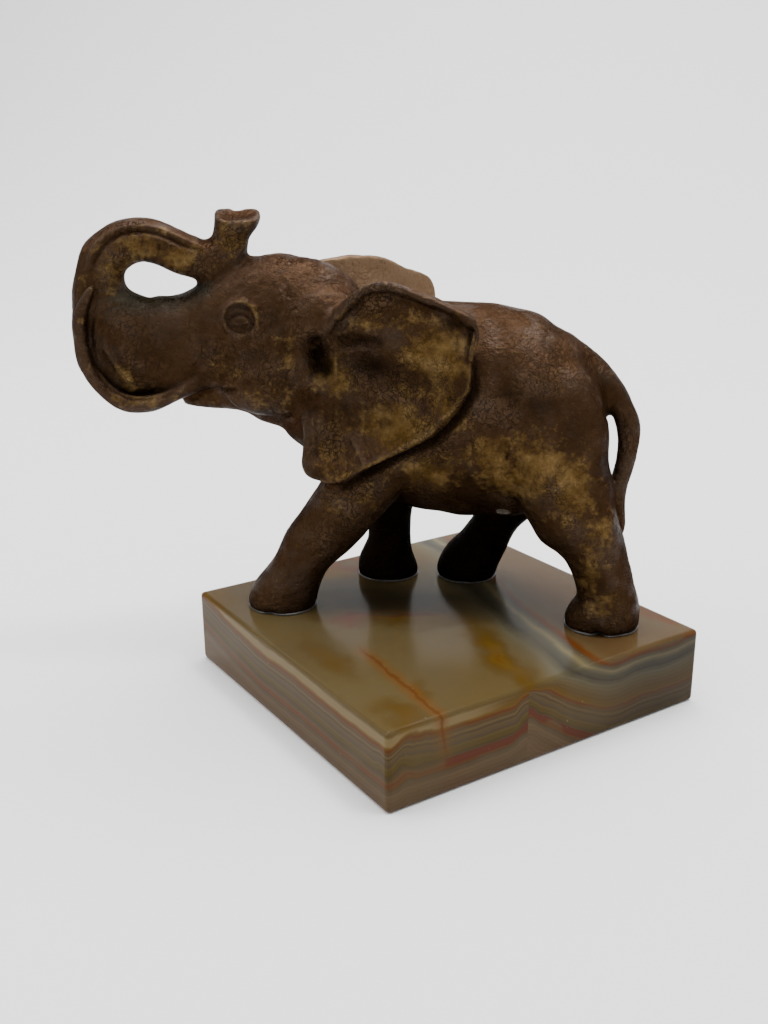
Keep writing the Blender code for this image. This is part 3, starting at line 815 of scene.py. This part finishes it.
# Gold where the patina is rubbed, and also where glints and highlights are painted on the eye's ring and
# the near ear's hem.
gold_rub_and_glint = math_node(tree, "MULTIPLY_ADD", kept(tree, "proud"), 0.3, kept(tree, "rubbed_and_glint"))
gold_rub_and_glint = math_node(tree, "MULTIPLY_ADD", clouds, 1.5, gold_rub_and_glint)
gold_rub_and_glint = math_node(tree, "MULTIPLY_ADD", speck, 1.3, gold_rub_and_glint)
gold_rub_and_glint = math_node(tree, "MULTIPLY_ADD", gold_rub_and_glint, 2.5, -4.2, clamp=True)
bronze_colour = mix_colour(tree, gold_rub_and_glint, base, gold)
# The painted grey highlight on the trunk loop's floor.
loop_highlight_amount = math_node(tree, "MULTIPLY", kept(tree, "loop_floor_highlight"), 0.75)
bronze_colour = mix_colour(tree, loop_highlight_amount, bronze_colour, (0.045, 0.050, 0.036))
bronze_colour = mix_colour(tree, math_node(tree, "MULTIPLY", cracks, 0.8), bronze_colour, (0.012, 0.006, 0.003))
# Hollows go near black: partly the patina's own darkening, partly painted shade.
deep = math_node(tree, "MULTIPLY", kept(tree, "hollow"), 1.3, clamp=True)
bronze_colour = mix_colour(tree, deep, bronze_colour, (0.008, 0.004, 0.002))
# Painted shade, with some darker patches: the colour goes near black where this mark is high, under the
# body, on the far legs and in the ears' pits and folds.
black = math_node(tree, "MULTIPLY_ADD", clouds, 0.5, -0.25)
black = math_node(tree, "ADD", kept(tree, "shade_and_dark_patches"), black)
black = math_node(tree, "MULTIPLY", black, kept(tree, "shade_and_dark_patches"), clamp=True)
bronze_colour = mix_colour(tree, math_node(tree, "MULTIPLY", black, 0.95), bronze_colour, (0.006, 0.003, 0.0015))
bronze_colour = mix_colour(tree, kept(tree, "chipped"), bronze_colour, (0.30, 0.27, 0.23))
link(bronze_colour, shader.inputs["Base Color"])
shader.inputs["Metallic"].default_value = 0.95
shader.inputs["Specular Tint"].default_value = (0.30, 0.25, 0.21, 1)
roughness = math_node(tree, "MULTIPLY_ADD", speck, 0.55, 0.24)
roughness = math_node(tree, "MULTIPLY_ADD", gold_rub_and_glint, 0.08, roughness)
link(roughness, shader.inputs["Roughness"])
height = math_node(tree, "MULTIPLY_ADD", grain, 0.35, math_node(tree, "MULTIPLY", speck, 1.3))
height = math_node(tree, "MULTIPLY_ADD", cracks, -0.5, height)
height = math_node(tree, "MULTIPLY_ADD", clouds, 1.2, height)
bump = tree.nodes.new("ShaderNodeBump")
bump.inputs["Strength"].default_value = 0.75
bump.inputs["Distance"].default_value = 0.0006
link(height, bump.inputs["Height"])
link(bump.outputs["Normal"], shader.inputs["Normal"])
waxed = math_node(tree, "MULTIPLY_ADD", noise(tree, where, 120, 3, 0.6), 5.0, -2.4, clamp=True)
waxed = math_node(tree, "MULTIPLY_ADD", kept(tree, "proud"), 2.0, waxed, clamp=True)
# The coat is thinned where shade is painted.
coat_out_of_shade = math_node(tree, "MULTIPLY_ADD", kept(tree, "shade_and_dark_patches"), -0.28, 0.30)
link(math_node(tree, "MULTIPLY", waxed, coat_out_of_shade), shader.inputs["Coat Weight"])
shader.inputs["Coat Roughness"].default_value = 0.12
shader.inputs["Coat IOR"].default_value = 1.4
link(bump.outputs["Normal"], shader.inputs["Coat Normal"])
casting.data.materials.clear()
casting.data.materials.append(bronze)
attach(casting, "root")
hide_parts("elephant")

# The slab is banded onyx, sawn square, its edges eased and all of it polished. Its
# beds lie nearly level, arch up in the middle and dip steeply at the right corner,
# and a rusty vein and a small fault cross them. Lengths here are in millimetres: p
# and q run along the slab's sides, and depth runs down from its top.
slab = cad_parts["plinth"]
slab_top = 1000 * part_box("plinth")[1][2]
onyx = bpy.data.materials.new("Polished onyx")
onyx.use_nodes = True
tree = onyx.node_tree
link = tree.links.new
shader = tree.nodes["Principled BSDF"]
where = tree.nodes.new("ShaderNodeTexCoord").outputs["Object"]
square = tree.nodes.new("ShaderNodeMapping")
square.inputs["Rotation"].default_value = (0, 0, math.radians(-45))
square.inputs["Scale"].default_value = (1000, 1000, 1000)
link(where, square.inputs["Vector"])
apart = tree.nodes.new("ShaderNodeSeparateXYZ")
link(square.outputs[0], apart.inputs[0])
p, q, z = apart.outputs
flat = tree.nodes.new("ShaderNodeCombineXYZ")
link(p, flat.inputs[0])
link(q, flat.inputs[1])
stray = tree.nodes.new("ShaderNodeTexNoise")
stray.inputs["Scale"].default_value = 70
stray.inputs["Detail"].default_value = 3
link(where, stray.inputs["Vector"])
plan = tree.nodes.new("ShaderNodeVectorMath")
plan.operation = "MULTIPLY_ADD"
link(stray.outputs["Color"], plan.inputs[0])
plan.inputs[1].default_value = (18, 18, 0)
link(flat.outputs[0], plan.inputs[2])
depth = math_node(tree, "SUBTRACT", slab_top, z)


def smooth(value, low, high):
    """A smooth step from 0 at low to 1 at high, as a node."""
    made = tree.nodes.new("ShaderNodeMapRange")
    made.interpolation_type = "SMOOTHSTEP"
    made.inputs["From Min"].default_value = low
    made.inputs["From Max"].default_value = high
    link(value, made.inputs["Value"])
    return made.outputs["Result"]


def mound(middle, half_lengths, turn):
    """A smooth oval mound, 1 in its middle and 0 at its edge, seen from above."""
    made = tree.nodes.new("ShaderNodeMapping")
    made.vector_type = "TEXTURE"
    made.inputs["Location"].default_value = (middle[0] + 9, middle[1] + 9, 0)
    made.inputs["Rotation"].default_value = (0, 0, math.radians(turn))
    made.inputs["Scale"].default_value = (*half_lengths, 1)
    link(plan.outputs[0], made.inputs["Vector"])
    size = tree.nodes.new("ShaderNodeVectorMath")
    size.operation = "LENGTH"
    link(made.outputs[0], size.inputs[0])
    return smooth(size.outputs["Value"], 1.0, 0.0)


folds = noise(tree, where, 18, 1, 0.4)
ripples = noise(tree, where, 60, 2, 0.5)
threads = noise(tree, where, 240, 3, 0.6)
level = math_node(tree, "ADD", depth, 0.8)
for strength, middle, half_lengths, turn in (
    (5.6, (-14, 5), (34, 10), -39),
    (3.8, (-5, -34), (34, 7), 75),
    (2.8, (-41, -9), (20, 7), 80),
    (2.8, (-43, -44), (12, 7), 80),
    (2.4, (-31, -37), (9, 5), 60),
    (4.6, (-60, 54), (46, 46), 0),
    (5.0, (0, 42), (46, 26), -12),
    (3.0, (52, -34), (20, 40), 0),
    (1.6, (30, -50), (16, 12), 20),
):
    level = math_node(tree, "MULTIPLY_ADD", mound(middle, half_lengths, turn), strength, level)
slant = math_node(tree, "MULTIPLY_ADD", q, -0.24, p)
drop = smooth(slant, 4.0, 36.0)
level = math_node(tree, "MULTIPLY_ADD", drop, -11.0, level)
beyond = math_node(tree, "GREATER_THAN", p, -9.0)
fault = math_node(tree, "MULTIPLY", beyond, smooth(p, 6.0, -9.0))
fault = math_node(tree, "MULTIPLY", fault, smooth(depth, 0.5, 3.0))
level = math_node(tree, "MULTIPLY_ADD", fault, 3.6, level)
for wave, strength in ((folds, 2.6), (ripples, 1.3), (threads, 0.6)):
    level = math_node(tree, "ADD", level, math_node(tree, "MULTIPLY_ADD", wave, strength, -0.5 * strength))
position = math_node(tree, "MULTIPLY_ADD", level, 1 / 36, 12 / 36)
beds = (
    (-12.0, (0.060, 0.027, 0.009)),
    (-9.4, (0.068, 0.040, 0.016)),
    (-8.0, (0.078, 0.049, 0.020)),
    (-7.3, (0.092, 0.024, 0.003)),
    (-6.7, (0.064, 0.030, 0.010)),
    (-6.0, (0.064, 0.055, 0.033)),
    (-5.1, (0.131, 0.105, 0.052)),
    (-4.2, (0.060, 0.054, 0.034)),
    (-2.6, (0.032, 0.028, 0.019)),
    (-0.9, (0.078, 0.066, 0.037)),
    (0.6, (0.080, 0.057, 0.023)),
    (2.4, (0.068, 0.042, 0.012)),
    (3.7, (0.073, 0.039, 0.006)),
    (4.6, (0.086, 0.046, 0.005)),
    (5.4, (0.082, 0.024, 0.007)),
    (5.9, (0.067, 0.034, 0.010)),
    (6.5, (0.058, 0.038, 0.019)),
    (7.1, (0.085, 0.055, 0.021)),
    (7.8, (0.046, 0.031, 0.016)),
    (8.5, (0.074, 0.048, 0.018)),
    (9.4, (0.050, 0.034, 0.020)),
    (10.3, (0.067, 0.044, 0.013)),
    (11.8, (0.053, 0.034, 0.007)),
    (12.6, (0.042, 0.029, 0.015)),
    (13.4, (0.070, 0.043, 0.016)),
    (14.1, (0.080, 0.030, 0.012)),
    (14.9, (0.078, 0.030, 0.007)),
    (15.7, (0.054, 0.037, 0.020)),
    (17.2, (0.086, 0.056, 0.029)),
    (19.5, (0.076, 0.046, 0.024)),
    (23.0, (0.088, 0.056, 0.030)),
)
stone = ramp(tree, position, tuple(((bed + 12) / 36, colour) for bed, colour in beds))
lines = math_node(tree, "SINE", math_node(tree, "MULTIPLY", level, 5.6))
lines = math_node(tree, "MULTIPLY_ADD", lines, 0.07, 0.96)
on_side = smooth(depth, 0.3, 1.6)
quiet = math_node(tree, "MULTIPLY_ADD", on_side, 0.9, 0.1)
tone = tree.nodes.new("ShaderNodeMix")
link(quiet, tone.inputs[0])
tone.inputs[2].default_value = 0.97
link(lines, tone.inputs[3])
toned = tree.nodes.new("ShaderNodeVectorMath")
toned.operation = "SCALE"
link(stone, toned.inputs[0])
link(tone.outputs[0], toned.inputs["Scale"])
haze = math_node(tree, "MULTIPLY", smooth(ripples, 0.42, 0.66), 0.35)
stone = mix_colour(tree, haze, toned.outputs[0], (0.070, 0.053, 0.028))
creamy = math_node(tree, "MULTIPLY", smooth(level, 1.4, 2.6), smooth(level, 4.8, 4.0))
creamy = math_node(tree, "MULTIPLY", creamy, smooth(p, -12.0, -30.0))
creamy = math_node(tree, "MULTIPLY", creamy, math_node(tree, "MULTIPLY", on_side, 0.6))
stone = mix_colour(tree, creamy, stone, (0.170, 0.128, 0.062))
brick = math_node(tree, "MULTIPLY", smooth(level, 12.6, 12.9), smooth(level, 15.0, 14.7))
patches = noise(tree, where, 55, 1, 0.4)
brick = math_node(tree, "MULTIPLY", brick, smooth(patches, 0.47, 0.50))
upper = math_node(tree, "MULTIPLY", smooth(level, 7.6, 7.9), smooth(level, 9.5, 9.2))
upper = math_node(tree, "MULTIPLY", upper, smooth(patches, 0.50, 0.47))
brick = math_node(tree, "ADD", brick, upper)
brick = math_node(tree, "MULTIPLY", brick, smooth(p, -34.5, -33.0))
brick = math_node(tree, "MULTIPLY", brick, smooth(q, -30.0, -44.0))
stone = mix_colour(tree, math_node(tree, "MULTIPLY", brick, 0.85), stone, (0.072, 0.019, 0.010))
rose = math_node(tree, "MULTIPLY", mound((-24, 9), (9, 6), -39), 0.6)
stone = mix_colour(tree, rose, stone, (0.110, 0.018, 0.016))
vein_at = math_node(tree, "MULTIPLY_ADD", q, 0.095, -32.0)
vein_at = math_node(tree, "MULTIPLY_ADD", depth, 0.12, vein_at)
vein_at = math_node(tree, "MULTIPLY_ADD", threads, 3.0, vein_at)
vein_away = math_node(tree, "ABSOLUTE", math_node(tree, "SUBTRACT", p, vein_at))
vein_here = math_node(tree, "MULTIPLY", smooth(q, -5.0, -14.0), smooth(depth, 17.0, 0.0))
rust = math_node(tree, "MULTIPLY", vein_here, 0.55)
rust = math_node(tree, "MULTIPLY", smooth(vein_away, 3.4, 0.2), rust)
stone = mix_colour(tree, rust, stone, (0.110, 0.042, 0.006))
core = math_node(tree, "MULTIPLY", vein_here, 0.65)
core = math_node(tree, "MULTIPLY", smooth(vein_away, 0.9, 0.1), core)
stone = mix_colour(tree, core, stone, (0.070, 0.020, 0.006))
on_top = math_node(tree, "SUBTRACT", 1.0, on_side)
# Painted shadow: the slab's top darkens under the elephant's belly, where its shadow falls.
shadow_under_belly = math_node(tree, "MULTIPLY", mound((-6, 12), (52, 24), -39), on_top)
stone = mix_colour(tree, math_node(tree, "MULTIPLY", shadow_under_belly, 0.9), stone, (0.020, 0.014, 0.008))
flecks = smooth(noise(tree, where, 900, 2, 0.5), 0.74, 0.80)
stone = mix_colour(tree, math_node(tree, "MULTIPLY", flecks, 0.35), stone, (0.24, 0.21, 0.16))
# The right-hand side darkens towards its right end.
darker_to_right = math_node(tree, "MULTIPLY", on_side, smooth(p, 0.0, 36.0))
stone = mix_colour(tree, math_node(tree, "MULTIPLY", darker_to_right, 0.55), stone, (0.022, 0.018, 0.014))
link(stone, shader.inputs["Base Color"])
shader.inputs["Roughness"].default_value = 0.17
shader.inputs["IOR"].default_value = 1.14
shader.inputs["Subsurface Weight"].default_value = 0.15
shader.inputs["Subsurface Radius"].default_value = (0.003, 0.002, 0.001)
slab.data.materials.clear()
slab.data.materials.append(onyx)

# Each foot is glued down, and a thin grey bead of the glue shows round its sole.
beads = []
for foot, sole in enumerate(soles):
    ends, side = (-1, 1)[foot % 2], (-1, 1)[foot // 2]
    curve = bpy.data.curves.new("bead", "CURVE")
    curve.dimensions = "3D"
    curve.bevel_depth = 0.00034
    curve.bevel_resolution = 3
    spline = curve.splines.new("NURBS")
    spline.points.add(35)
    spline.use_cyclic_u = True
    turns = np.radians(np.arange(-180, 180, 10))
    middle, edge = sole_edge(sole, turns)
    for point, turn, reach in zip(spline.points, turns, edge + 0.0001):
        x, y = middle[0] + reach * math.cos(turn), middle[1] + reach * math.sin(turn)
        point.co = (x, y, slab_top / 1000 + 0.00025, 1)
        point.radius = 1 + 0.25 * math.sin(3 * turn + ends) + 0.2 * math.sin(5 * turn + side)
    bead = bpy.data.objects.new("bead", curve)
    bpy.context.scene.collection.objects.link(bead)
    pick_only(bead)
    bpy.ops.object.convert(target="MESH")
    beads.append(bpy.context.view_layer.objects.active)
for bead in beads:
    bead.select_set(True)
bpy.ops.object.join()
glue = bpy.context.view_layer.objects.active
glue.name = "glue_bead"
glue.data.name = "glue_bead"
glue.data.shade_smooth()
resin = bpy.data.materials.new("Grey glue")
resin.use_nodes = True
tree = resin.node_tree
shader = tree.nodes["Principled BSDF"]
where = tree.nodes.new("ShaderNodeTexCoord").outputs["Object"]
dust = noise(tree, where, 900, 3, 0.6)
film = ramp(tree, dust, ((0.3, (0.024, 0.021, 0.017)), (0.7, (0.062, 0.055, 0.046))))
tree.links.new(film, shader.inputs["Base Color"])
shader.inputs["Roughness"].default_value = 0.35
glue.data.materials.clear()
glue.data.materials.append(resin)
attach(glue, "root")

# The floor is a white paper sweep that curves up behind, with no edge in sight.
bpy.ops.object.select_all(action="DESELECT")
bpy.ops.mesh.primitive_plane_add(size=5, location=(0, -0.9, 0))
floor = bpy.context.active_object
floor.name = "studio_floor"
corners = floor.data.vertices
for edge in floor.data.edges:
    edge.select = all(corners[corner].co.y > 0 for corner in edge.vertices)
for corner in corners:
    corner.select = corner.co.y > 0
floor.data.polygons[0].select = False
bpy.ops.object.mode_set(mode="EDIT")
bpy.ops.mesh.select_mode(type="EDGE")
bpy.ops.mesh.extrude_region_move(TRANSFORM_OT_translate={"value": (0, 0, 3)})
bpy.ops.mesh.select_all(action="DESELECT")
bpy.ops.object.mode_set(mode="OBJECT")
for edge in floor.data.edges:
    ends = [floor.data.vertices[corner].co for corner in edge.vertices]
    edge.select = all(end.y > 0 and end.z < 0.01 for end in ends)
bpy.ops.object.mode_set(mode="EDIT")
bpy.ops.mesh.bevel(offset=1.2, segments=24)
bpy.ops.object.mode_set(mode="OBJECT")
floor.data.shade_smooth()
paper = bpy.data.materials.new("White paper")
paper.use_nodes = True
sheet = paper.node_tree.nodes["Principled BSDF"]
sheet.inputs["Base Color"].default_value = (0.93, 0.93, 0.93, 1)
sheet.inputs["Roughness"].default_value = 0.95
floor.data.materials.append(paper)

# One wide softbox hangs over the table and a weaker one stands at the left.
sky = bpy.data.worlds.new("White tent")
sky.use_nodes = True
sky.node_tree.nodes["Background"].inputs["Color"].default_value = (1, 1, 1, 1)
sky.node_tree.nodes["Background"].inputs["Strength"].default_value = 0.7
bpy.context.scene.world = sky


def softbox(name, place, aim, size, power):
    """A square softbox that faces a point."""
    lamp = bpy.data.lights.new(name, "AREA")
    lamp.size = size
    lamp.energy = power
    holder = bpy.data.objects.new(name, lamp)
    holder.location = place
    way = Vector(aim) - Vector(place)
    holder.rotation_euler = way.to_track_quat("-Z", "Y").to_euler()
    bpy.context.scene.collection.objects.link(holder)


softbox("Top softbox", (0.0, 0.30, 1.3), (0, 0.15, 0), 1.4, 34)
softbox("Left softbox", (-0.9, -0.3, 0.7), (0, 0, 0.07), 0.5, 4)
softbox("Window light", (0.4, -0.05, 1.0), (0, 0, 0.07), 0.16, 3.5)

# The camera stands where the photograph's did.
az, el, cant = (math.radians(angle) for angle in (11.98159, 18.37775, -0.44054))
forward = Vector((-math.sin(az) * math.cos(el), math.cos(az) * math.cos(el), -math.sin(el)))
level_right = Vector((math.cos(az), math.sin(az), 0))
level_up = level_right.cross(forward)
right_way = math.cos(cant) * level_right + math.sin(cant) * level_up
up_way = -math.sin(cant) * level_right + math.cos(cant) * level_up
eye = bpy.data.cameras.new("Camera")
eye.lens = 39.187
eye.sensor_width = 36
camera = bpy.data.objects.new("Camera", eye)
turned = Matrix((right_way, up_way, -forward)).transposed()
camera.matrix_world = Matrix.Translation((0.045144, -0.284944, 0.145696)) @ turned.to_4x4()
bpy.context.scene.collection.objects.link(camera)
bpy.context.scene.camera = camera
